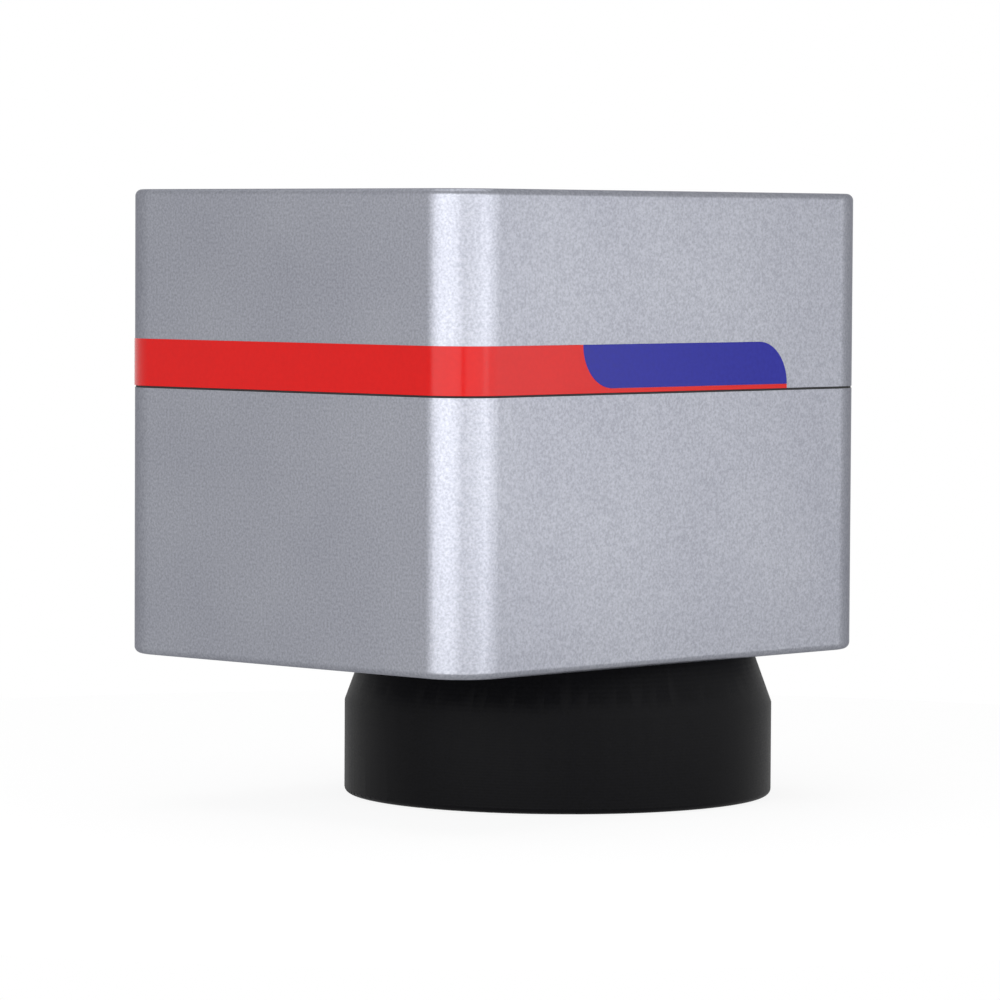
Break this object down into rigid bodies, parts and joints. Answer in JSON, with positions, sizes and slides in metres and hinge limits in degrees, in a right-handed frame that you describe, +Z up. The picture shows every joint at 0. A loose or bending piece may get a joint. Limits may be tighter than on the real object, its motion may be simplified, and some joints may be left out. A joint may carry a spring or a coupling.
{
  "type": "galvo scanner head",
  "caption": "Closed two-axis laser scanner head: split aluminium housing, turning mirrors inside, beam inlet and ports on the back, scan lens below.",
  "frame": {"origin": "centre of the beam inlet at the back mounting face", "axes": "+X out of the back mounting face, against the incoming beam; -Y out of the labelled long side; +Z up, away from the scan lens"},
  "size_m": [0.1302, 0.0984, 0.1241],
  "materials": {
    "blasted_aluminium": "bead-blasted, clear anodised",
    "black_rubber": "matt",
    "red_label": "printed film, satin",
    "blue_label": "printed film, satin",
    "screw_steel": "turned, zinc plated",
    "black_anodised": "turned, black anodised, satin",
    "machined_aluminium": "milled",
    "ground_steel": "ground",
    "copper_winding": "enamelled copper wire",
    "magnet": "nickel plated",
    "black_plastic": "moulded, matt",
    "circuit_board": "solder mask",
    "mirror_coating": "dielectric coating",
    "plated_shell": "pressed, nickel plated",
    "gold_pins": "gold plated",
    "coated_glass": "polished, coated"
  },
  "bodies": {
    "head": {"lower_housing": "blasted_aluminium", "top_cover": "blasted_aluminium", "cover_gasket": "black_rubber", "cover_screws": "screw_steel", "side_stripe": "red_label", "label_tab": "blue_label", "beam_inlet_ring": "black_anodised", "inlet_o_ring": "black_rubber", "scanner_mount": "machined_aluminium", "mount_screws": "screw_steel", "clamp_screws": "screw_steel", "x_stator_case": "ground_steel", "x_coil": "copper_winding", "x_bearings": "ground_steel", "x_rear_cap": "black_plastic", "x_encoder_board": "circuit_board", "y_stator_case": "ground_steel", "y_coil": "copper_winding", "y_bearings": "ground_steel", "y_rear_cap": "black_plastic", "y_encoder_board": "circuit_board", "driver_board_x": "circuit_board", "driver_board_y": "circuit_board", "driver_chips_x": "black_plastic", "driver_chips_y": "black_plastic", "board_brackets": "ground_steel", "board_screws": "screw_steel", "interface_board": "circuit_board", "signal_shell": "plated_shell", "signal_insert": "black_plastic", "signal_pins": "gold_pins", "signal_jackposts": "screw_steel", "power_shell": "plated_shell", "power_insert": "black_plastic", "power_pins": "gold_pins", "power_nut": "screw_steel", "lens_barrel": "black_anodised", "lens_element_top": "coated_glass", "lens_element_middle": "coated_glass", "lens_element_front": "coated_glass", "lens_spacers": "black_anodised", "lens_retainer": "black_anodised", "protective_window": "coated_glass", "window_ring": "black_anodised"},
    "x_rotor": {"x_shaft": "ground_steel", "x_magnet": "magnet", "x_encoder_blade": "black_plastic", "x_mirror_clamp": "machined_aluminium", "x_mirror": "mirror_coating"},
    "y_rotor": {"y_shaft": "ground_steel", "y_magnet": "magnet", "y_encoder_blade": "black_plastic", "y_mirror_clamp": "machined_aluminium", "y_mirror": "mirror_coating"}
  },
  "joints": [
    {"name": "x_mirror_turn", "type": "hinge", "parent": "head", "child": "x_rotor", "pos_m": [-0.045, 0, 0], "axis": [0, 0, 1], "range_deg": [-12.5, 12.5]},
    {"name": "y_mirror_turn", "type": "hinge", "parent": "head", "child": "y_rotor", "pos_m": [-0.045, -0.014, 0], "axis": [1, 0, 0], "range_deg": [-12.5, 12.5]}
  ]
}
